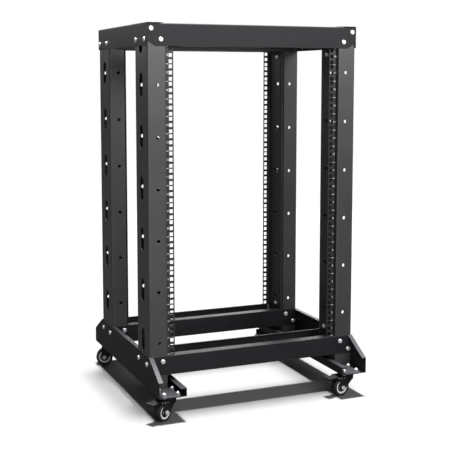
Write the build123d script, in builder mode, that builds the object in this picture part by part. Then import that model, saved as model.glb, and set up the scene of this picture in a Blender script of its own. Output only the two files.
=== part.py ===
"""An open four-post 19-inch equipment rack, 18 units high, standing on four swivel casters.

The origin is on the floor under the middle of the rack. +X is to the right, -Y is the front
and +Z is up. All sizes are in millimetres. Every piece is its own solid in its own file.
"""

import os

from build123d import *

# The 19-inch rack standard
rack_unit = 44.45
unit_count = 18
hole_columns = 465.1
bay_width = 450.0
square_hole = 9.5
holes_in_unit = (6.35, 22.225, 38.1)

# The whole rack
width = 600.0
depth = 450.0
sheet = 2.0
bend = 3.0
inner_bend = bend - sheet
play = 0.3
leg_bottom = 67.0
bay_bottom = 154.0
bay_height = unit_count * rack_unit
bay_top = bay_bottom + bay_height
beam_top = bay_top + 57.0
rack_top = beam_top + sheet

# Corner posts
post_width = 50.0
post_depth = 100.0
post_bottom = leg_bottom + sheet
post_top = beam_top - sheet
post_x = width / 2 - sheet - post_width / 2
post_y = depth / 2 - sheet - post_depth / 2
post_inner_x = post_x - post_width / 2
post_seam = 3.0
post_pitch = 3 * rack_unit
post_pattern_count = 6
post_pattern_drop = 2.2 * rack_unit
post_inward_y = post_y - post_depth / 2
face_hole_radius = 4.5
front_hole_x = 271.0
back_hole_x = 280.0
slot_length = 62.0
slot_width = 26.0
slot_y = 170.0
short_slot_length = 40.0
short_slot_drop = 52.0
inner_slot_length = 40.0
inner_slot_width = 9.0
inner_slot_y = 166.0

# Rack rails
rail_recess = 10.0
rail_leg = 78.0
rail_face_y = depth / 2 - sheet - rail_recess
rail_edge_x = bay_width / 2
edge_column_y = rail_face_y - 71.0
edge_hole_radius = 2.5
edge_hole_gap = 10.0

# Beams
beam_depth = 100.0
base_beam_height = 50.0
beam_half_span = post_inner_x - 1.0
beam_half_width = width / 2 - sheet - play
beam_lip = 27.0
beam_hem = 7.0
corner_cut_x = 22.0
corner_cut_z = 14.0

# Top side rails
side_rail_height = 58.0
side_rail_flange = 48.0
side_rail_corner = 12.0

# Legs
leg_half_length = depth / 2 + 78.0
leg_width = 75.0
leg_tip_height = 42.0
leg_inner_height = 22.0
leg_lip = 12.0
leg_inner_lip = 16.0

# Frame fasteners
bolt_radius = 3.0
bolt_hole_radius = 3.3
bolt_length = 12.0
bolt_head_radius = 6.0
bolt_head_height = 3.6
bolt_head_round = 2.1
bolt_tip_chamfer = 0.6
recess_length = 6.4
recess_width = 1.3
recess_depth = 1.8
nut_flats = 10.0
nut_height = 5.0
nut_bore_radius = 3.1
nut_chamfer = 0.5
beam_bolt_near = 12.0
beam_bolt_far = 38.0
beam_bolt_high = 14.0
top_bolt_low = 41.0
base_bolt_low = 38.0
side_bolt_spread = 35.0
side_rail_bolt_drop = 42.0
leg_bolt_drop = 22.0
rail_screw_y = depth / 2 - 65.0
rail_screw_inset = 15.0

# Casters, each drawn with its kingpin on the Z axis and its wheel towards -X
caster_x = 261.0
caster_y = 263.0
plate_x = 56.0
plate_y = 62.0
plate_sheet = 2.5
plate_bottom = leg_bottom - plate_sheet
caster_bolt_x = 38.0
caster_bolt_y = 44.0
trail = 22.0
wheel_radius = 25.0
tyre_width = 22.0
tyre_inner_radius = 18.0
tyre_shoulder = 4.0
core_radius = 18.0
core_width = 19.0
core_web = 7.0
core_rim = 4.0
core_draft = 1.0
hub_radius = 7.5
hub_length = 24.0
cap_radius = 12.5
cap_sheet = 2.0
cap_bore_radius = 8.05
axle_radius = 4.0
axle_bore_radius = 4.08
fork_gap = 24.6
fork_sheet = 2.5
fork_top = 57.7
fork_front = 17.0
fork_back = 30.0
fork_hood = 13.0
fork_corner = 6.0
axle_boss_radius = 9.0
crown_radius = 21.0
kingpin_radius = 5.0
kingpin_bore_radius = 5.08
kingpin_head_radius = 9.0
kingpin_head_height = 2.5
race_skirt_radius = 22.0
race_skirt_wall = 2.0
race_skirt_drop = 6.2
race_drop = 2.0
ball_radius = 2.2
ball_ring_radius = 15.0
ball_count = 18
axle_head_flats = 11.0
axle_head_height = 4.0
axle_nut_height = 3.2
axle_tip_chamfer = 0.8

# Brake pedals of the two front casters
pedal_pivot_x = -36.0
pedal_pivot_z = 53.0
pedal_pin_radius = 2.0
pedal_pin_bore_radius = 2.08
pedal_barrel_radius = 5.0
pedal_width = 23.0
pedal_pad_width = 27.0
pedal_reach = 31.0
pedal_pad_length = 15.0
pedal_thickness = 3.5
pedal_pad_thickness = 7.0
pedal_lug_radius = 5.5
pedal_cam_radius = 3.0
pedal_cam_angle = -83.4
pedal_edge_round = 1.5
lug_neck = 9.0
rivet_xs = (-27.0, -17.0)
rivet_height = 51.5
rivet_radius = 1.5
rivet_head_radius = 2.4
rivet_head_height = 1.3
rivet_head_round = 1.1

corners = {
    "front_left": (-1, -1),
    "front_right": (1, -1),
    "rear_left": (-1, 1),
    "rear_right": (1, 1),
}
caster_angles = {"front_left": 27, "front_right": 9, "rear_left": -18, "rear_right": 15}
braked = ("front_left", "front_right")
ends = {"front": -1, "rear": 1}
sides = {"left": -1, "right": 1}

# The two pairs of beams are alike, and each lies against the front of its posts
beam_front_y = {-1: -depth / 2, 1: post_inward_y - sheet}


def facing_x(x):
    """A plane across X, with Y to its right and Z up."""
    return Plane.YZ.offset(x)


def facing_y(y):
    """A plane across Y, with X to its right and Z up."""
    return Plane.XZ.offset(-y)


def write(part, name):
    """Labels a finished piece and writes its file."""
    part.label = name
    export_step(part, f"parts/{name}.step")


def round_corner(section, corner, radius):
    """Rounds the sketch's corner that lies at this point of its own plane."""
    fillet(section.vertices().sort_by_distance(Vector(*corner))[0], radius)


def pattern_heights(side, end):
    """Heights of a post's holes and slots. One diagonal of posts stands upside down."""
    heights = [bay_top - post_pattern_drop - post_pitch * n for n in range(post_pattern_count)]
    if side * end < 0:
        heights = [post_top + post_bottom - z for z in heights]
    return heights


def beam_bolt_points(side, top):
    """Where a beam's two bolts at one post go, as (x, height) pairs."""
    near = side * (width / 2 - beam_bolt_near)
    far = side * (width / 2 - beam_bolt_far)
    if top:
        return [(near, beam_top - beam_bolt_high), (far, beam_top - top_bolt_low)]
    return [(far, bay_bottom - beam_bolt_high), (near, bay_bottom - base_bolt_low)]


def side_bolt_points(end, height):
    """Where a side rail's or a leg's two bolts at one post go, as (y, height) pairs."""
    return [(end * post_y + step * side_bolt_spread, height) for step in (-1, 1)]


def rail_screw_heights():
    """The rail screws' heights, near both ends of a rack rail."""
    return [bay_bottom + rail_screw_inset, bay_top - rail_screw_inset]


side_rail_bolt_height = rack_top - side_rail_bolt_drop
leg_bolt_height = bay_bottom - leg_bolt_drop


def make_post(name, side, end):
    """A folded box section with slots in both side walls and round holes in front and behind."""
    heights = pattern_heights(side, end)
    outer_wall_x = side * (post_x + (post_width - sheet) / 2)
    inner_wall_x = side * (post_x - (post_width - sheet) / 2)
    inward_face_y = end * (post_inward_y + sheet / 2)
    front_face_y = end * post_y - (post_depth - sheet) / 2
    back_face_y = end * post_y + (post_depth - sheet) / 2
    seam_x = side * (post_inner_x + sheet + post_seam / 2)
    short_slot_height = post_top - short_slot_drop
    if side * end < 0:
        short_slot_height = post_bottom + short_slot_drop
    with BuildPart() as post:
        with BuildSketch(Plane.XY.offset(post_bottom)):
            with Locations((side * post_x, end * post_y)):
                RectangleRounded(post_width, post_depth, bend)
                RectangleRounded(
                    post_width - 2 * sheet, post_depth - 2 * sheet, inner_bend, mode=Mode.SUBTRACT
                )
            with Locations((seam_x, inward_face_y)):
                Rectangle(post_seam, 2 * sheet, mode=Mode.SUBTRACT)
        extrude(amount=post_top - post_bottom)
        with BuildSketch(facing_x(outer_wall_x)):
            with Locations(*[(end * slot_y, z) for z in heights]):
                SlotOverall(slot_length, slot_width, rotation=90)
            with Locations((end * slot_y, short_slot_height)):
                SlotOverall(short_slot_length, slot_width, rotation=90)
            bolt_points = side_bolt_points(end, side_rail_bolt_height)
            bolt_points += side_bolt_points(end, leg_bolt_height)
            with Locations(*bolt_points):
                Circle(bolt_hole_radius)
        extrude(amount=sheet, both=True, mode=Mode.SUBTRACT)
        with BuildSketch(facing_y(front_face_y)):
            with Locations(*[(side * front_hole_x, z) for z in heights]):
                Circle(face_hole_radius)
            bolt_points = beam_bolt_points(side, True) + beam_bolt_points(side, False)
            with Locations(*bolt_points):
                Circle(bolt_hole_radius)
        extrude(amount=sheet, both=True, mode=Mode.SUBTRACT)
        with BuildSketch(facing_y(back_face_y)):
            with Locations(*[(side * back_hole_x, z) for z in heights]):
                Circle(face_hole_radius)
        extrude(amount=sheet, both=True, mode=Mode.SUBTRACT)
        with BuildSketch(facing_x(inner_wall_x)):
            with Locations(*[(end * inner_slot_y, z) for z in heights]):
                SlotOverall(inner_slot_length, inner_slot_width)
            with Locations(*[(end * rail_screw_y, z) for z in rail_screw_heights()]):
                Circle(bolt_hole_radius)
        extrude(amount=sheet, both=True, mode=Mode.SUBTRACT)
    write(post.part, name)


def make_rack_rail(name, side, end):
    """An angle whose flange carries the square holes and whose leg lies on the post."""
    bottom = bay_bottom + play
    length = bay_height - 2 * play
    flange_width = post_inner_x - rail_edge_x
    leg_x = side * (post_inner_x - sheet / 2)
    square_heights = [
        bay_bottom + unit * rack_unit + step for unit in range(unit_count) for step in holes_in_unit
    ]
    heights = pattern_heights(side, end)
    unit_middles = [bay_bottom + (unit + 0.5) * rack_unit for unit in range(unit_count)]
    edge_heights = [z for z in unit_middles if min(abs(z - h) for h in heights) > edge_hole_gap]
    with BuildPart() as rail:
        with BuildSketch(Plane.XY.offset(bottom)) as section:
            with Locations((side * (rail_edge_x + flange_width / 2), end * (rail_face_y - sheet / 2))):
                Rectangle(flange_width, sheet)
            with Locations((leg_x, end * (rail_face_y - rail_leg / 2))):
                Rectangle(sheet, rail_leg)
            round_corner(section, (side * post_inner_x, end * rail_face_y), bend)
        extrude(amount=length)
        with BuildSketch(facing_y(end * (rail_face_y - sheet / 2))):
            with Locations(*[(side * hole_columns / 2, z) for z in square_heights]):
                Rectangle(square_hole, square_hole)
        extrude(amount=sheet, both=True, mode=Mode.SUBTRACT)
        with BuildSketch(facing_x(leg_x)):
            with Locations(*[(end * inner_slot_y, z) for z in heights]):
                SlotOverall(inner_slot_length, inner_slot_width)
            with Locations(*[(end * edge_column_y, z) for z in edge_heights]):
                Circle(edge_hole_radius)
            with Locations(*[(end * rail_screw_y, z) for z in rail_screw_heights()]):
                Circle(bolt_hole_radius)
        extrude(amount=sheet, both=True, mode=Mode.SUBTRACT)
    write(rail.part, name)


def make_beam(name, front_y, bottom, top, web_height, lip_height):
    """A channel whose front wall laps over both posts and whose web and lip lie between them."""
    wall_y = front_y + sheet / 2
    back_y = front_y + beam_depth
    wall_height = top - bottom
    middle = (top + bottom) / 2
    is_top = web_height > middle
    with BuildPart() as beam:
        with BuildSketch(facing_x(0)) as section:
            with Locations((wall_y, middle), (back_y - sheet / 2, middle)):
                Rectangle(sheet, wall_height)
            with Locations((front_y + beam_depth / 2, web_height)):
                Rectangle(beam_depth, sheet)
            with Locations((front_y + beam_lip / 2, lip_height)):
                Rectangle(beam_lip, sheet)
            with Locations((back_y - beam_hem / 2, lip_height)):
                Rectangle(beam_hem, sheet)
            for corner_y in (front_y, back_y):
                for corner_z in (bottom, top):
                    round_corner(section, (corner_y, corner_z), bend)
        extrude(amount=beam_half_span, both=True)
        with BuildSketch(facing_x(0)) as wall:
            with Locations((wall_y, middle)):
                Rectangle(sheet, wall_height)
            if is_top:
                with Locations((front_y + beam_depth / 2, web_height)):
                    Rectangle(beam_depth, sheet)
                round_corner(wall, (front_y, top), bend)
        extrude(amount=beam_half_width, both=True)
        with BuildSketch(facing_y(wall_y)):
            for side in sides.values():
                with Locations(*beam_bolt_points(side, is_top)):
                    Circle(bolt_hole_radius)
            if is_top:
                for side in sides.values():
                    with BuildLine():
                        Polyline(
                            (side * beam_half_width, bottom),
                            (side * (beam_half_width - corner_cut_x), bottom),
                            (side * beam_half_width, bottom + corner_cut_z),
                            close=True,
                        )
                    make_face()
        extrude(amount=sheet, both=True, mode=Mode.SUBTRACT)
    write(beam.part, name)


def make_side_rail(name, side):
    """An angle whose wall laps over both posts and whose flange lies on the beams."""
    wall_x = side * (width - sheet) / 2
    with BuildPart() as rail:
        with BuildSketch(facing_y(0)) as section:
            with Locations((wall_x, rack_top - side_rail_height / 2)):
                Rectangle(sheet, side_rail_height)
            with Locations((side * (width - side_rail_flange) / 2, rack_top - sheet / 2)):
                Rectangle(side_rail_flange, sheet)
            round_corner(section, (side * width / 2, rack_top), bend)
        extrude(amount=depth / 2, both=True)
        flange_corners = (
            rail.edges()
            .filter_by(Axis.Z)
            .filter_by_position(Axis.Z, beam_top, rack_top)
            .filter_by(lambda edge: abs(edge.center().X) < width / 2 - side_rail_flange + 1)
        )
        chamfer(flange_corners, side_rail_corner)
        with BuildSketch(facing_x(wall_x)):
            for end in ends.values():
                with Locations(*side_bolt_points(end, side_rail_bolt_height)):
                    Circle(bolt_hole_radius)
        extrude(amount=sheet, both=True, mode=Mode.SUBTRACT)
    write(rail.part, name)


def make_leg(name, side):
    """A channel with a tall outer wall that slopes down past the posts to both tips."""
    outer_x = side * width / 2
    inner_x = side * (width / 2 - leg_width)
    wall_x = outer_x - side * sheet / 2
    tip_top = leg_bottom + leg_tip_height
    slope_start = depth / 2
    with BuildPart() as leg:
        with BuildSketch(facing_x(wall_x)):
            with BuildLine():
                Polyline(
                    (-leg_half_length, leg_bottom),
                    (leg_half_length, leg_bottom),
                    (leg_half_length, tip_top),
                    (slope_start, bay_bottom),
                    (-slope_start, bay_bottom),
                    (-leg_half_length, tip_top),
                    close=True,
                )
            make_face()
        extrude(amount=sheet / 2, both=True)
        with BuildSketch(facing_y(0)):
            with Locations((side * (width - leg_width) / 2, leg_bottom + sheet / 2)):
                Rectangle(leg_width, sheet)
            with Locations((inner_x + side * sheet / 2, leg_bottom + leg_inner_height / 2)):
                Rectangle(sheet, leg_inner_height)
            with Locations(
                (inner_x + side * leg_inner_lip / 2, leg_bottom + leg_inner_height - sheet / 2)
            ):
                Rectangle(leg_inner_lip, sheet)
        extrude(amount=leg_half_length, both=True)
        with BuildSketch(facing_x(outer_x)):
            for end in ends.values():
                with BuildLine():
                    Polyline(
                        (end * slope_start, bay_bottom),
                        (end * leg_half_length, tip_top),
                        (end * leg_half_length, tip_top - sheet),
                        (end * slope_start, bay_bottom - sheet),
                        close=True,
                    )
                make_face()
        extrude(amount=-side * leg_lip)
        with BuildSketch(Plane.XY.offset(bay_bottom - sheet)):
            with Locations((outer_x - side * leg_lip / 2, 0)):
                Rectangle(leg_lip, 2 * (post_inward_y - 2 * sheet))
        extrude(amount=sheet)
        lower_edges = leg.edges().filter_by(Axis.Y).group_by(Axis.Z)[0]
        fillet(lower_edges, sheet)
        with BuildSketch(facing_x(wall_x)):
            for end in ends.values():
                with Locations(*side_bolt_points(end, leg_bolt_height)):
                    Circle(bolt_hole_radius)
        extrude(amount=sheet, both=True, mode=Mode.SUBTRACT)
        with BuildSketch(Plane.XY.offset(leg_bottom)):
            for end in ends.values():
                with Locations((side * caster_x, end * caster_y)):
                    with GridLocations(caster_bolt_x, caster_bolt_y, 2, 2):
                        Circle(bolt_hole_radius)
        extrude(amount=2 * sheet, both=True, mode=Mode.SUBTRACT)
    write(leg.part, name)


def make_bolt():
    """A pan-head bolt with a cross recess. Its head stands on the XY plane, its shank below."""
    with BuildPart() as bolt:
        Cylinder(bolt_head_radius, bolt_head_height, align=(Align.CENTER, Align.CENTER, Align.MIN))
        rim = bolt.edges().group_by(Axis.Z)[-1]
        fillet(rim, bolt_head_round)
        with BuildSketch(Plane.XY.offset(bolt_head_height)):
            Rectangle(recess_length, recess_width)
            Rectangle(recess_width, recess_length)
        extrude(amount=-recess_depth, mode=Mode.SUBTRACT)
        with BuildSketch(Plane.XY):
            Circle(bolt_radius)
        extrude(amount=-bolt_length)
        chamfer(bolt.edges().group_by(Axis.Z)[0], bolt_tip_chamfer)
    return bolt.part


def make_nut():
    """A hexagon nut whose lower face lies on the XY plane."""
    with BuildPart() as nut:
        with BuildSketch(Plane.XY):
            RegularPolygon(nut_flats / 2, 6, major_radius=False)
            Circle(nut_bore_radius, mode=Mode.SUBTRACT)
        extrude(amount=nut_height)
        chamfer(nut.edges().filter_by(GeomType.CIRCLE), nut_chamfer)
    return nut.part


def make_group(name, piece, planes):
    """Copies of one fastener, kept as separate solids."""
    with BuildPart() as group:
        with Locations(*planes):
            add(piece)
    write(group.part, name)


def make_frame_fasteners():
    """The bolts, screws and weld nuts that hold the frame together."""
    bolt = make_bolt()
    nut = make_nut()
    top_beam_bolts = []
    base_beam_bolts = []
    side_rail_bolts = []
    leg_bolts = []
    rail_screws = []
    weld_nuts = []
    for side, end in corners.values():
        outwards_x = (side, 0, 0)
        beam_y = beam_front_y[end]
        nut_y = beam_y + 2 * sheet + nut_height
        for x, z in beam_bolt_points(side, True):
            top_beam_bolts.append(Plane(origin=(x, beam_y, z), z_dir=(0, -1, 0)))
            weld_nuts.append(Plane(origin=(x, nut_y, z), z_dir=(0, -1, 0)))
        for x, z in beam_bolt_points(side, False):
            base_beam_bolts.append(Plane(origin=(x, beam_y, z), z_dir=(0, -1, 0)))
            weld_nuts.append(Plane(origin=(x, nut_y, z), z_dir=(0, -1, 0)))
        for y, z in side_bolt_points(end, side_rail_bolt_height):
            side_rail_bolts.append(Plane(origin=(side * width / 2, y, z), z_dir=outwards_x))
        for y, z in side_bolt_points(end, leg_bolt_height):
            leg_bolts.append(Plane(origin=(side * width / 2, y, z), z_dir=outwards_x))
        for y, z in side_bolt_points(end, side_rail_bolt_height) + side_bolt_points(
            end, leg_bolt_height
        ):
            inside_x = side * (width / 2 - 2 * sheet - nut_height)
            weld_nuts.append(Plane(origin=(inside_x, y, z), z_dir=outwards_x))
        for z in rail_screw_heights():
            y = end * rail_screw_y
            rail_x = side * (post_inner_x - sheet)
            rail_screws.append(Plane(origin=(rail_x, y, z), z_dir=(-side, 0, 0)))
            nut_x = side * (post_inner_x + sheet + nut_height)
            weld_nuts.append(Plane(origin=(nut_x, y, z), z_dir=(-side, 0, 0)))
    make_group("top_beam_bolts", bolt, top_beam_bolts)
    make_group("base_beam_bolts", bolt, base_beam_bolts)
    make_group("side_rail_bolts", bolt, side_rail_bolts)
    make_group("leg_bolts", bolt, leg_bolts)
    make_group("rail_screws", bolt, rail_screws)
    make_group("weld_nuts", nut, weld_nuts)


def make_caster_fasteners():
    """The bolts that come up through the caster plates, and the nuts inside the legs."""
    bolt = make_bolt()
    nut = make_nut()
    bolts = []
    nuts = []
    for side, end in corners.values():
        for step_x in (-1, 1):
            for step_y in (-1, 1):
                x = side * caster_x + step_x * caster_bolt_x / 2
                y = end * caster_y + step_y * caster_bolt_y / 2
                bolts.append(Plane(origin=(x, y, plate_bottom), x_dir=(1, 0, 0), z_dir=(0, 0, -1)))
                nuts.append(Plane(origin=(x, y, leg_bottom + sheet)))
    make_group("caster_bolts", bolt, bolts)
    make_group("caster_nuts", nut, nuts)


def make_caster_plate():
    """The mounting plate, with the race that covers the balls."""
    with BuildPart() as plate:
        with BuildSketch(Plane.XY.offset(plate_bottom)):
            RectangleRounded(plate_x, plate_y, bend)
        extrude(amount=plate_sheet)
        with BuildSketch(Plane.XY.offset(plate_bottom)):
            Circle(race_skirt_radius)
        extrude(amount=-race_drop)
        with BuildSketch(Plane.XY.offset(plate_bottom - race_drop)):
            Circle(race_skirt_radius)
            Circle(race_skirt_radius - race_skirt_wall, mode=Mode.SUBTRACT)
        extrude(amount=-(race_skirt_drop - race_drop))
        with BuildSketch(Plane.XY.offset(leg_bottom)):
            Circle(kingpin_radius)
            with GridLocations(caster_bolt_x, caster_bolt_y, 2, 2):
                Circle(bolt_hole_radius)
        extrude(amount=-(plate_sheet + race_drop), mode=Mode.SUBTRACT)
    return plate.part


def make_kingpin():
    """The rivet that the fork turns on, with its head under the fork's crown."""
    head_top = fork_top - fork_sheet - play
    with BuildPart() as kingpin:
        with BuildSketch(Plane.XY.offset(head_top - kingpin_head_height)):
            Circle(kingpin_head_radius)
        extrude(amount=kingpin_head_height)
        chamfer(kingpin.edges().group_by(Axis.Z)[0], kingpin_head_height / 2)
        with BuildSketch(Plane.XY.offset(head_top)):
            Circle(kingpin_radius)
        extrude(amount=leg_bottom - head_top)
    return kingpin.part


def make_ball_ring():
    """One caster's ring of bearing balls."""
    height = (plate_bottom - race_drop + fork_top) / 2
    with BuildPart() as balls:
        with Locations((0, 0, height)):
            with PolarLocations(ball_ring_radius, ball_count):
                Sphere(ball_radius)
    return balls.part


def make_fork(has_brake):
    """The round crown, the hood and the two arms, with lugs for the pin of a braked caster."""
    half_gap = fork_gap / 2
    fork_length = fork_front + fork_back
    fork_middle = (fork_front - fork_back) / 2
    with BuildPart() as fork:
        with BuildSketch(Plane.XY.offset(fork_top)):
            Circle(crown_radius)
            with Locations((fork_middle, 0)):
                RectangleRounded(fork_length, fork_gap + 2 * fork_sheet, fork_corner)
            Circle(kingpin_bore_radius, mode=Mode.SUBTRACT)
        extrude(amount=-fork_sheet)
        with BuildSketch(Plane.XY.offset(fork_top)):
            with Locations((fork_middle, 0)):
                RectangleRounded(fork_length, fork_gap + 2 * fork_sheet, fork_corner)
                RectangleRounded(
                    fork_length - 2 * fork_sheet, fork_gap, fork_corner - fork_sheet, mode=Mode.SUBTRACT
                )
            with Locations((-fork_back, 0)):
                Rectangle(2 * fork_corner, fork_gap + 2 * fork_sheet, mode=Mode.SUBTRACT)
        extrude(amount=-fork_hood)
        for arm in (-1, 1):
            with BuildSketch(facing_y(arm * half_gap)):
                with Locations((-trail, wheel_radius)):
                    Circle(axle_boss_radius)
                with Locations((fork_middle - fork_corner / 2, fork_top - fork_hood / 2)):
                    Rectangle(fork_length - fork_corner, fork_hood)
                make_hull()
                if has_brake:
                    with Locations((pedal_pivot_x, pedal_pivot_z)):
                        Circle(pedal_lug_radius)
                    with Locations(((pedal_pivot_x - fork_back) / 2, pedal_pivot_z)):
                        Rectangle(-pedal_pivot_x - fork_back + sheet, lug_neck)
                    with Locations((pedal_pivot_x, pedal_pivot_z)):
                        Circle(pedal_pin_radius, mode=Mode.SUBTRACT)
                with Locations((-trail, wheel_radius)):
                    Circle(axle_radius, mode=Mode.SUBTRACT)
            extrude(amount=-arm * fork_sheet)
        if has_brake:
            with BuildSketch(facing_y(-half_gap)):
                with Locations(*[(x, rivet_height) for x in rivet_xs]):
                    Circle(rivet_radius)
            extrude(amount=fork_sheet, mode=Mode.SUBTRACT)
    return fork.part


def make_brake_rivets():
    """The two round-headed rivets above the hub of a braked caster."""
    outer = fork_gap / 2 + fork_sheet
    with BuildPart() as rivets:
        with BuildSketch(facing_y(-outer)):
            with Locations(*[(x, rivet_height) for x in rivet_xs]):
                Circle(rivet_head_radius)
        extrude(amount=rivet_head_height)
        fillet(rivets.edges().group_by(Axis.Y)[0], rivet_head_round)
        with BuildSketch(facing_y(-outer)):
            with Locations(*[(x, rivet_height) for x in rivet_xs]):
                Circle(rivet_radius)
        extrude(amount=-fork_sheet)
    return rivets.part


def make_axle():
    """The axle bolt, with its head behind and its nut in front."""
    outer = fork_gap / 2 + fork_sheet
    with BuildPart() as axle:
        with BuildSketch(facing_y(0)):
            with Locations((-trail, wheel_radius)):
                Circle(axle_radius)
        extrude(amount=outer + axle_head_height, both=True)
        chamfer(axle.edges().group_by(Axis.Y)[0], axle_tip_chamfer)
        with BuildSketch(facing_y(outer)):
            with Locations((-trail, wheel_radius)):
                RegularPolygon(axle_head_flats / 2, 6, major_radius=False)
        extrude(amount=-axle_head_height)
    with BuildPart() as nut:
        with BuildSketch(facing_y(-outer)):
            with Locations((-trail, wheel_radius)):
                RegularPolygon(axle_head_flats / 2, 6, major_radius=False)
                Circle(axle_bore_radius, mode=Mode.SUBTRACT)
        extrude(amount=axle_nut_height)
    return axle.part, nut.part


def wheel_profile_plane():
    """A plane through the wheel's axle, with the axle along its X and the radius along its Y."""
    return Plane(origin=(-trail, 0, wheel_radius), x_dir=(0, 1, 0), z_dir=(1, 0, 0))


def make_wheel_core():
    """The hub, web and rim, turned in one piece, with a shallow recess on both faces."""
    plane = wheel_profile_plane()
    with BuildPart() as core:
        with BuildSketch(plane):
            with BuildLine():
                Polyline(
                    (-hub_length / 2, axle_bore_radius),
                    (hub_length / 2, axle_bore_radius),
                    (hub_length / 2, hub_radius),
                    (core_web / 2, hub_radius + core_draft),
                    (core_web / 2, core_radius - core_rim - core_draft),
                    (core_width / 2, core_radius - core_rim),
                    (core_width / 2, core_radius),
                    (-core_width / 2, core_radius),
                    (-core_width / 2, core_radius - core_rim),
                    (-core_web / 2, core_radius - core_rim - core_draft),
                    (-core_web / 2, hub_radius + core_draft),
                    (-hub_length / 2, hub_radius),
                    close=True,
                )
            make_face()
        revolve(axis=Axis(plane.origin, plane.x_dir))
    return core.part


def make_hub_caps():
    """The two dished caps that cover the wheel's web."""
    plane = wheel_profile_plane()
    with BuildPart() as caps:
        with BuildSketch(plane):
            for face in (-1, 1):
                with Locations((face * (core_width - cap_sheet) / 2, (cap_radius + cap_bore_radius) / 2)):
                    Rectangle(cap_sheet, cap_radius - cap_bore_radius)
        revolve(axis=Axis(plane.origin, plane.x_dir))
    return caps.part


def make_tyre():
    """The tyre, with rounded shoulders."""
    plane = wheel_profile_plane()
    with BuildPart() as tyre:
        with BuildSketch(plane) as section:
            with Locations((0, (wheel_radius + tyre_inner_radius) / 2)):
                Rectangle(tyre_width, wheel_radius - tyre_inner_radius)
            for face in (-1, 1):
                round_corner(section, (face * tyre_width / 2, wheel_radius), tyre_shoulder)
        revolve(axis=Axis(plane.origin, plane.x_dir))
    return tyre.part


def make_pedal():
    """The brake pedal: a barrel on its pin, an arm and a thick foot pad."""
    arm_end = pedal_pivot_x - pedal_reach + pedal_pad_length
    with BuildPart() as pedal:
        with BuildSketch(facing_y(0)):
            with Locations((pedal_pivot_x, pedal_pivot_z)):
                Circle(pedal_barrel_radius)
                with PolarLocations(pedal_cam_radius, 1, pedal_cam_angle):
                    Circle(pedal_cam_radius)
            with BuildLine():
                Polyline(
                    (pedal_pivot_x, pedal_pivot_z + pedal_barrel_radius),
                    (arm_end, pedal_pivot_z + pedal_thickness / 2),
                    (arm_end, pedal_pivot_z - pedal_thickness / 2),
                    (pedal_pivot_x, pedal_pivot_z - pedal_barrel_radius),
                    close=True,
                )
            make_face()
        extrude(amount=pedal_width / 2, both=True)
        with BuildSketch(facing_y(0)):
            with Locations((arm_end - pedal_pad_length / 2, pedal_pivot_z)):
                SlotOverall(pedal_pad_length + pedal_pad_thickness / 2, pedal_pad_thickness)
        extrude(amount=pedal_pad_width / 2, both=True)
        pad_ends = pedal.faces().filter_by(Axis.Y).sort_by(Axis.Y)
        fillet(pad_ends[0].edges() + pad_ends[-1].edges(), pedal_edge_round)
        with BuildSketch(facing_y(0)):
            with Locations((pedal_pivot_x, pedal_pivot_z)):
                Circle(pedal_pin_bore_radius)
        extrude(amount=pedal_pad_width, both=True, mode=Mode.SUBTRACT)
    return pedal.part


def make_pedal_pin():
    """The pin through the fork's lugs that the pedal turns on."""
    with BuildPart() as pin:
        with BuildSketch(facing_y(0)):
            with Locations((pedal_pivot_x, pedal_pivot_z)):
                Circle(pedal_pin_radius)
        extrude(amount=fork_gap / 2 + fork_sheet, both=True)
    return pin.part


def place_caster_piece(name, corner, *pieces, turned=True):
    """Writes a caster's piece at one corner of the rack, turned with its fork."""
    side, end = corners[corner]
    angle = caster_angles[corner] if turned else 0
    with BuildPart() as placed:
        with Locations(Location((side * caster_x, end * caster_y, 0), (0, 0, angle))):
            for piece in pieces:
                add(piece)
    write(placed.part, f"{name}_{corner}")


def caster_places():
    """The four kingpins' places on the floor."""
    return [(side * caster_x, end * caster_y, 0) for side, end in corners.values()]


os.makedirs("parts", exist_ok=True)

for corner, (side, end) in corners.items():
    make_post(f"post_{corner}", side, end)
    make_rack_rail(f"rack_rail_{corner}", side, end)

base_beam_bottom = bay_bottom - base_beam_height
for end_name, end in ends.items():
    front_y = beam_front_y[end]
    make_beam(
        f"top_beam_{end_name}", front_y, bay_top, beam_top, beam_top - sheet / 2, bay_top + sheet / 2
    )
    make_beam(
        f"base_beam_{end_name}",
        front_y,
        base_beam_bottom,
        bay_bottom,
        base_beam_bottom + sheet / 2,
        bay_bottom - sheet / 2,
    )

for side_name, side in sides.items():
    make_side_rail(f"side_rail_{side_name}", side)
    make_leg(f"leg_{side_name}", side)

make_frame_fasteners()
make_caster_fasteners()

make_group("kingpins", make_kingpin(), caster_places())
make_group("bearing_balls", make_ball_ring(), caster_places())

caster_plate = make_caster_plate()
plain_fork = make_fork(False)
braked_fork = make_fork(True)
axle_bolt, axle_nut = make_axle()
wheel_core = make_wheel_core()
hub_caps = make_hub_caps()
tyre = make_tyre()
pedal = make_pedal()
pedal_pin = make_pedal_pin()
brake_rivets = make_brake_rivets()

for corner in corners:
    place_caster_piece("caster_plate", corner, caster_plate, turned=False)
    place_caster_piece("fork", corner, braked_fork if corner in braked else plain_fork)
    place_caster_piece("axle", corner, axle_bolt, axle_nut)
    place_caster_piece("wheel_core", corner, wheel_core)
    place_caster_piece("hub_caps", corner, hub_caps)
    place_caster_piece("tyre", corner, tyre)
    if corner in braked:
        place_caster_piece("brake_pedal", corner, pedal)
        place_caster_piece("brake_pin", corner, pedal_pin)
        place_caster_piece("brake_rivets", corner, brake_rivets)
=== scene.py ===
"""Looks for the open four-post equipment rack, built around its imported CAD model.

Metres, +Z up, the front towards -Y. The CAD pieces keep their shapes and get their materials
here. The printed unit marks on the four rack rails are made here and ride on the frame.
"""

import math

import bmesh
import bpy
from mathutils import Matrix, Vector


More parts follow.
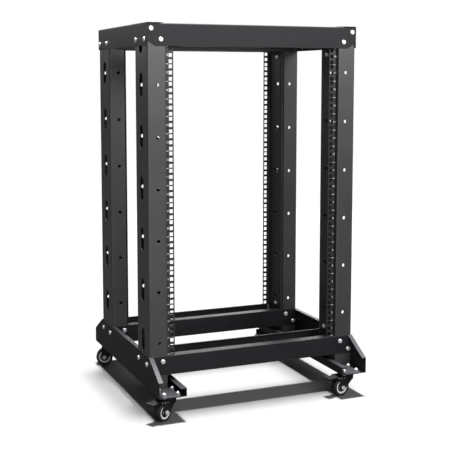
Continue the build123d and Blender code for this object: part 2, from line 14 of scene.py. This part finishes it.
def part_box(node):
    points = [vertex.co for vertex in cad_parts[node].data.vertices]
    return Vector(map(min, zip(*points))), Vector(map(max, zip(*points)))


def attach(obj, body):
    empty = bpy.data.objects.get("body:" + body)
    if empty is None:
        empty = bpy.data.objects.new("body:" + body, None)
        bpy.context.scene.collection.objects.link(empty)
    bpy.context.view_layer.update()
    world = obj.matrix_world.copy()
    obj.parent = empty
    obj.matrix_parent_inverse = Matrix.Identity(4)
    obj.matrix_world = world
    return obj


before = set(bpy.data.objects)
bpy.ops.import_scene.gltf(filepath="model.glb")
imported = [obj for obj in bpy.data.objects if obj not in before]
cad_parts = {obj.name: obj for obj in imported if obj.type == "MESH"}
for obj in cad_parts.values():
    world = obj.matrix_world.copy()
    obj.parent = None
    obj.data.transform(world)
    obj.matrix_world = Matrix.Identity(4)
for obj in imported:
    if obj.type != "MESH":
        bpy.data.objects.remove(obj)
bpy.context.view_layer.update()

MM = 0.001

# Camera
CAMERA_PLACE = Vector((-1.0606, -2.565, 0.8715))
CAMERA_YAW = math.radians(22.64)
CAMERA_PITCH = math.radians(5.99)
CAMERA_LENS = 77.5
CAMERA_SHIFT = -0.0996

# Light. The floor's own shade is a mid grey. The strong overhead light makes it white where it
# is lit, and its shadows stay deep.
WORLD_FILL = 0.06
WORLD_SHOWN = 1.0
FLOOR_SIZE = 60.0
FLOOR_SHADE = 0.13
FLOOR_BOUNCE = 0.025
SUN_STRENGTH = 24.0
SUN_SOFTNESS = math.radians(8)
SUN_DIRECTION = (-0.03, -0.02, -1.0)

# Soft panels: place, target, size and watts
PANELS = {
    "front_panel": ((0.35, -1.75, 1.5), (0, 0, 0.95), (1.9, 0.7), 44.0),
    "front_low_panel": ((-0.5, -1.6, 0.25), (0, -0.2, 0.15), (0.9, 0.3), 6.0),
    "back_left_panel": ((-1.15, 1.8, 1.45), (-0.3, 0, 0.95), (1.0, 0.6), 5.5),
    "back_right_panel": ((1.7, 3.4, 1.1), (0.2, 0, 0.4), (1.6, 1.2), 40.0),
}

# Surface detail
NOISE_ROUGHNESS = 0.55
BEVEL_SAMPLES = 4
# Width of the paler coat edges: rubbed wear and painted edge highlight.
COAT_WEAR_AND_HIGHLIGHT_WIDTH = 1.6 * MM
COAT_GRAIN_DEPTH = 0.16 * MM
SCUFF_WIDTH = 0.8 * MM
ZINC_GRAIN_DEPTH = 0.02 * MM
RUBBER_GRAIN_DEPTH = 0.06 * MM

# Rack rail marks, from the 19-inch standard
RACK_UNIT = 44.45 * MM
UNIT_COUNT = 18
TICK_LENGTH = 6.5 * MM
TICK_HEIGHT = 1.1 * MM
NUMERAL_HEIGHT = 5.2 * MM
NUMERAL_SHARE = 0.7
MARK_THICKNESS = 0.06 * MM
MARK_SINK = 0.01 * MM
MARK_FROM_POST = 6.0 * MM
WELD_DISTANCE = 0.001 * MM

CORNERS = {
    "front_left": (-1, -1),
    "front_right": (1, -1),
    "rear_left": (-1, 1),
    "rear_right": (1, 1),
}


# ---------------------------------------------------------------- stage


def make_camera():
    data = bpy.data.cameras.new("camera")
    data.lens = CAMERA_LENS
    data.shift_y = CAMERA_SHIFT
    camera = bpy.data.objects.new("camera", data)
    camera.location = CAMERA_PLACE
    camera.rotation_euler = (math.pi / 2 - CAMERA_PITCH, 0, -CAMERA_YAW)
    bpy.context.collection.objects.link(camera)
    bpy.context.scene.camera = camera


def make_area_light(name, place, target, size, power):
    """A soft panel at a place, turned towards a target and left out of the picture itself."""
    data = bpy.data.lights.new(name, "AREA")
    data.shape = "RECTANGLE"
    data.size, data.size_y = size
    data.energy = power
    light = bpy.data.objects.new(name, data)
    light.location = place
    light.rotation_euler = (Vector(target) - Vector(place)).to_track_quat("-Z", "Y").to_euler()
    light.visible_camera = False
    bpy.context.collection.objects.link(light)


def make_sun():
    """An overhead light, which throws the shadows almost straight down."""
    data = bpy.data.lights.new("overhead_sun", "SUN")
    data.energy = SUN_STRENGTH
    data.angle = SUN_SOFTNESS
    light = bpy.data.objects.new("overhead_sun", data)
    light.rotation_euler = Vector(SUN_DIRECTION).to_track_quat("-Z", "Y").to_euler()
    bpy.context.collection.objects.link(light)


def shown_or_lighting(tree, output, lighting, shown):
    """Shows one shader in the picture, and lets another one light and mirror in the object."""
    mix = tree.nodes.new("ShaderNodeMixShader")
    path = tree.nodes.new("ShaderNodeLightPath")
    tree.links.new(path.outputs["Is Camera Ray"], mix.inputs[0])
    tree.links.new(lighting.outputs[0], mix.inputs[1])
    tree.links.new(shown.outputs[0], mix.inputs[2])
    tree.links.new(mix.outputs[0], output.inputs["Surface"])


def make_world():
    """A plain white background that lights the object only gently."""
    world = bpy.data.worlds.new("studio")
    world.use_nodes = True
    tree = world.node_tree
    tree.nodes.clear()
    shades = []
    for strength in (WORLD_FILL, WORLD_SHOWN):
        shade = tree.nodes.new("ShaderNodeBackground")
        shade.inputs["Color"].default_value = (1, 1, 1, 1)
        shade.inputs["Strength"].default_value = strength
        shades.append(shade)
    shown_or_lighting(tree, tree.nodes.new("ShaderNodeOutputWorld"), *shades)
    bpy.context.scene.world = world


def make_floor():
    """A plain floor, pale where it is lit, that throws little light back onto the object."""
    mesh = bpy.data.meshes.new("floor")
    corners = [(x * FLOOR_SIZE, y * FLOOR_SIZE, 0) for x, y in ((-1, -1), (1, -1), (1, 1), (-1, 1))]
    mesh.from_pydata(corners, [], [(0, 1, 2, 3)])
    floor = bpy.data.objects.new("floor", mesh)
    bpy.context.collection.objects.link(floor)
    material = bpy.data.materials.new("plain_floor")
    material.use_nodes = True
    tree = material.node_tree
    tree.nodes.clear()
    shades = []
    for albedo in (FLOOR_BOUNCE, FLOOR_SHADE):
        shade = tree.nodes.new("ShaderNodeBsdfDiffuse")
        shade.inputs["Color"].default_value = (albedo, albedo, albedo, 1)
        shades.append(shade)
    shown_or_lighting(tree, tree.nodes.new("ShaderNodeOutputMaterial"), *shades)
    mesh.materials.append(material)


# ---------------------------------------------------------------- materials


class Finish:
    """A material under construction, with short calls for the nodes that every finish needs."""

    def __init__(self, name, metallic=0.0, specular=0.5):
        self.material = bpy.data.materials.new(name)
        self.material.use_nodes = True
        self.tree = self.material.node_tree
        self.shader = self.tree.nodes["Principled BSDF"]
        self.shader.inputs["Metallic"].default_value = metallic
        self.shader.inputs["Specular IOR Level"].default_value = specular
        self.place = self.tree.nodes.new("ShaderNodeTexCoord").outputs["Object"]
        self.rounded = None

    def link(self, source, target):
        self.tree.links.new(source, target)

    def noise(self, scale, detail=3.0):
        """A noise value from 0 to 1, with scale in features per metre."""
        node = self.tree.nodes.new("ShaderNodeTexNoise")
        node.inputs["Scale"].default_value = scale
        node.inputs["Detail"].default_value = detail
        node.inputs["Roughness"].default_value = NOISE_ROUGHNESS
        self.link(self.place, node.inputs["Vector"])
        return node.outputs["Fac"]

    def spread(self, value, low, high, to_low=0.0, to_high=1.0):
        """The value's range from low to high, stretched to another range and clamped."""
        node = self.tree.nodes.new("ShaderNodeMapRange")
        node.inputs["From Min"].default_value = low
        node.inputs["From Max"].default_value = high
        node.inputs["To Min"].default_value = to_low
        node.inputs["To Max"].default_value = to_high
        self.link(value, node.inputs["Value"])
        return node.outputs["Result"]

    def math(self, operation, first, second):
        node = self.tree.nodes.new("ShaderNodeMath")
        node.operation = operation
        for socket, value in zip(node.inputs, (first, second)):
            if isinstance(value, float):
                socket.default_value = value
            else:
                self.link(value, socket)
        return node.outputs[0]

    def mix(self, share, first, second):
        """A colour between two colours, each a tuple or a socket."""
        node = self.tree.nodes.new("ShaderNodeMix")
        node.data_type = "RGBA"
        self.link(share, node.inputs["Factor"])
        for name, value in (("A", first), ("B", second)):
            socket = [s for s in node.inputs if s.name == name and s.type == "RGBA"][0]
            if isinstance(value, tuple):
                socket.default_value = (*value, 1)
            else:
                self.link(value, socket)
        return [s for s in node.outputs if s.type == "RGBA"][0]

    def edges(self, radius, sharpness=0.06):
        """1 on sharp edges and 0 on flat faces, from how much a bevel would turn the surface."""
        bevel = self.tree.nodes.new("ShaderNodeBevel")
        bevel.samples = BEVEL_SAMPLES
        bevel.inputs["Radius"].default_value = radius
        self.rounded = bevel.outputs["Normal"]
        geometry = self.tree.nodes.new("ShaderNodeNewGeometry")
        dot = self.tree.nodes.new("ShaderNodeVectorMath")
        dot.operation = "DOT_PRODUCT"
        self.link(bevel.outputs["Normal"], dot.inputs[0])
        self.link(geometry.outputs["Normal"], dot.inputs[1])
        return self.spread(dot.outputs["Value"], 1.0, 1.0 - sharpness)

    def bump(self, height, distance):
        """Raises the surface by a height value, over the rounded edges that edges() found."""
        node = self.tree.nodes.new("ShaderNodeBump")
        node.inputs["Distance"].default_value = distance
        self.link(height, node.inputs["Height"])
        if self.rounded:
            self.link(self.rounded, node.inputs["Normal"])
        self.link(node.outputs["Normal"], self.shader.inputs["Normal"])

    def colour(self, value):
        self.link(value, self.shader.inputs["Base Color"])

    def roughness(self, value):
        self.link(value, self.shader.inputs["Roughness"])


def make_powder_coat(name, dark, light, worn_and_highlight, gloss, specular):
    """Fine-textured black powder coat: a sandy grain, faint clouding, and edges painted paler, partly as
    rubbed wear and partly as a painted highlight where edges catch the light.
    """
    finish = Finish(name, specular=specular)
    grain = finish.noise(1500.0, detail=2.0)
    pebbles = finish.noise(520.0, detail=3.0)
    clouds = finish.spread(finish.noise(9.0, detail=4.0), 0.35, 0.68)
    edge_patches = finish.spread(finish.noise(70.0, detail=4.0), 0.42, 0.62)
    # Edges painted paler in patches: partly rubbed wear, partly a painted highlight for edges that catch the
    # light.
    wear_and_highlight = finish.math("MULTIPLY", finish.edges(COAT_WEAR_AND_HIGHLIGHT_WIDTH), finish.spread(edge_patches, 0.0, 1.0, 0.25, 1.0))
    coat = finish.mix(clouds, dark, light)
    speckled = finish.mix(finish.spread(grain, 0.56, 0.72, 0.0, 0.35), coat, worn_and_highlight)
    finish.colour(finish.mix(wear_and_highlight, speckled, worn_and_highlight))
    rough = finish.spread(pebbles, 0.3, 0.7, gloss - 0.05, gloss + 0.07)
    finish.roughness(finish.math("SUBTRACT", rough, finish.math("MULTIPLY", wear_and_highlight, 0.12)))
    height = finish.math("ADD", finish.math("MULTIPLY", grain, 0.5), pebbles)
    finish.bump(height, COAT_GRAIN_DEPTH)
    return finish.material


def make_zinc(name, bright, dull, gloss, metallic):
    """Zinc plate: pale metal with a faint crystal mottle, duller in patches."""
    finish = Finish(name, metallic=metallic)
    mottle = finish.spread(finish.noise(650.0, detail=4.0), 0.35, 0.65)
    fine = finish.noise(3200.0, detail=2.0)
    finish.colour(finish.mix(mottle, bright, dull))
    finish.roughness(finish.spread(mottle, 0.0, 1.0, gloss - 0.05, gloss + 0.1))
    finish.bump(fine, ZINC_GRAIN_DEPTH)
    return finish.material


def make_steel(name):
    """Ground bearing steel, nearly a mirror."""
    finish = Finish(name, metallic=1.0)
    haze = finish.noise(900.0, detail=3.0)
    finish.colour(finish.mix(haze, (0.62, 0.62, 0.63), (0.52, 0.53, 0.55)))
    finish.roughness(finish.spread(haze, 0.3, 0.7, 0.12, 0.22))
    return finish.material


def make_plastic(name, dark, light, gloss, specular, grain_depth):
    """Moulded plastic with a fine spark-eroded grain."""
    finish = Finish(name, specular=specular)
    grain = finish.noise(2600.0, detail=2.0)
    clouds = finish.spread(finish.noise(60.0, detail=3.0), 0.35, 0.65)
    scuffs = finish.math("MULTIPLY", finish.edges(SCUFF_WIDTH, 0.1), 0.5)
    finish.colour(finish.mix(scuffs, finish.mix(clouds, dark, light), tuple(2.2 * c for c in light)))
    finish.roughness(finish.spread(grain, 0.3, 0.7, gloss - 0.06, gloss + 0.08))
    finish.bump(grain, grain_depth)
    return finish.material


def make_rubber(name):
    """Black rubber with a dusty, scuffed surface."""
    finish = Finish(name, specular=0.35)
    dust = finish.spread(finish.noise(130.0, detail=5.0), 0.45, 0.75)
    grain = finish.noise(2200.0, detail=3.0)
    finish.colour(finish.mix(dust, (0.010, 0.010, 0.011), (0.030, 0.029, 0.028)))
    finish.roughness(finish.spread(dust, 0.0, 1.0, 0.5, 0.72))
    finish.bump(grain, RUBBER_GRAIN_DEPTH)
    return finish.material


def make_print(name):
    """White screen-printed ink, slightly thin in places."""
    finish = Finish(name, specular=0.4)
    thin = finish.spread(finish.noise(900.0, detail=3.0), 0.4, 0.7)
    finish.colour(finish.mix(thin, (0.80, 0.80, 0.79), (0.62, 0.62, 0.61)))
    finish.roughness(finish.spread(thin, 0.0, 1.0, 0.5, 0.65))
    return finish.material


def make_post_coat():
    """The posts' coat, more neutral and about three times lighter than the coat of the beams, rails and
    legs; the lightness is partly the coat's own tone and partly painted light that matches the posts' lit
    tone.
    """
    # These base colours are about three times the frame coat's: partly the posts' own tone, partly painted
    # light for their lit faces.
    return make_powder_coat(
        "post_coat_with_painted_light", (0.0300, 0.0292, 0.0292), (0.0400, 0.0390, 0.0390), (0.08, 0.078, 0.077), 0.42, 0.6
    )


def make_finishes():
    """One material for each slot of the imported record."""
    return {
        "frame_powder_coat": make_powder_coat(
            "frame_coat", (0.0098, 0.0100, 0.0122), (0.0142, 0.0145, 0.0172), (0.045, 0.045, 0.049), 0.5, 0.2
        ),
        "rail_powder_coat": make_powder_coat(
            "rail_coat", (0.014, 0.014, 0.015), (0.020, 0.020, 0.021), (0.07, 0.07, 0.072), 0.44, 0.35
        ),
        "zinc_bolts": make_zinc("zinc_bolts_look", (0.86, 0.87, 0.88), (0.68, 0.69, 0.71), 0.26, 0.5),
        "zinc_nuts": make_zinc("zinc_nuts_look", (0.80, 0.80, 0.80), (0.60, 0.60, 0.61), 0.34, 0.9),
        "axle_zinc": make_zinc("axle_zinc_look", (0.84, 0.84, 0.85), (0.64, 0.64, 0.66), 0.26, 0.6),
        "bearing_steel": make_steel("bearing_steel_look"),
        "pin_steel": make_steel("pin_steel_look"),
        "caster_black": make_powder_coat(
            "caster_coat", (0.006, 0.006, 0.0066), (0.009, 0.009, 0.0098), (0.045, 0.045, 0.047), 0.42, 0.2
        ),
        "wheel_grey": make_plastic(
            "wheel_grey_look", (0.78, 0.76, 0.72), (0.86, 0.84, 0.80), 0.34, 0.5, 0.02 * MM
        ),
        "cap_black": make_plastic(
            "cap_black_look", (0.013, 0.013, 0.014), (0.020, 0.020, 0.021), 0.42, 0.4, 0.03 * MM
        ),
        "tyre_rubber": make_rubber("tyre_rubber_look"),
        "pedal_black": make_plastic(
            "pedal_black_look", (0.005, 0.005, 0.0055), (0.008, 0.008, 0.0086), 0.55, 0.15, 0.04 * MM
        ),
    }


def dress_cad_nodes(finishes, post_coat_with_painted_light):
    """Gives each CAD node the material of its slot, and the posts their own coat, which is lighter partly by
    painted light.
    """
    for name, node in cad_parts.items():
        for slot in node.material_slots:
            slot.material = finishes[slot.material.name.split(".")[0]]
            if name.startswith("post_"):
                slot.material = post_coat_with_painted_light


# ---------------------------------------------------------------- unit marks


def numeral_outline(number):
    """A mesh of one number, upright in the XY plane, centred on the origin."""
    text = bpy.data.curves.new("numeral", "FONT")
    text.body = str(number)
    text.align_x = "CENTER"
    text.align_y = "CENTER"
    text.size = NUMERAL_HEIGHT / NUMERAL_SHARE
    text.extrude = MARK_THICKNESS / 2
    text.resolution_u = 4
    holder = bpy.data.objects.new("numeral", text)
    bpy.context.collection.objects.link(holder)
    bpy.context.view_layer.update()
    mesh = bpy.data.meshes.new_from_object(holder)
    bpy.data.objects.remove(holder)
    return mesh


def make_rail_marks(corner, material):
    """Ticks at the unit boundaries and the unit numbers, printed on one rail's face."""
    side, end = CORNERS[corner]
    low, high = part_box(f"rack_rail_{corner}")
    bay_middle = (low.z + high.z) / 2
    bay_bottom = bay_middle - RACK_UNIT * UNIT_COUNT / 2
    post_side_x = high.x if side > 0 else low.x
    face_y = high.y if end > 0 else low.y
    x = post_side_x - side * MARK_FROM_POST
    y = face_y + end * (MARK_THICKNESS / 2 - MARK_SINK)
    upright = Matrix.Rotation(math.pi / 2, 4, "X")
    if end > 0:
        upright = Matrix.Rotation(math.pi, 4, "Z") @ upright
    marks = bmesh.new()
    for boundary in range(UNIT_COUNT + 1):
        z = bay_bottom + boundary * RACK_UNIT
        # The first and last ticks stand a little inside the bay, to stay on the rail.
        if boundary == 0:
            z += TICK_HEIGHT
        if boundary == UNIT_COUNT:
            z -= TICK_HEIGHT
        place = Matrix.Translation((x, y, z)) @ upright
        size = Matrix.Diagonal((TICK_LENGTH, TICK_HEIGHT, MARK_THICKNESS, 1))
        bmesh.ops.create_cube(marks, size=1.0, matrix=place @ size)
    for unit in range(UNIT_COUNT):
        numeral = numeral_outline(unit + 1)
        numeral.transform(Matrix.Translation((x, y, bay_bottom + (unit + 0.5) * RACK_UNIT)) @ upright)
        marks.from_mesh(numeral)
        bpy.data.meshes.remove(numeral)
    bmesh.ops.remove_doubles(marks, verts=marks.verts, dist=WELD_DISTANCE)
    name = f"rail_marks_{corner}"
    mesh = bpy.data.meshes.new(name)
    marks.to_mesh(mesh)
    marks.free()
    mesh.materials.append(material)
    piece = bpy.data.objects.new(name, mesh)
    bpy.context.collection.objects.link(piece)
    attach(piece, "root")


# ---------------------------------------------------------------- build

bpy.context.scene.view_settings.view_transform = "Standard"
make_camera()
make_world()
make_floor()
make_sun()
for panel_name, panel in PANELS.items():
    make_area_light(panel_name, *panel)

dress_cad_nodes(make_finishes(), make_post_coat())
ink = make_print("unit_print")
for corner_name in CORNERS:
    make_rail_marks(corner_name, ink)
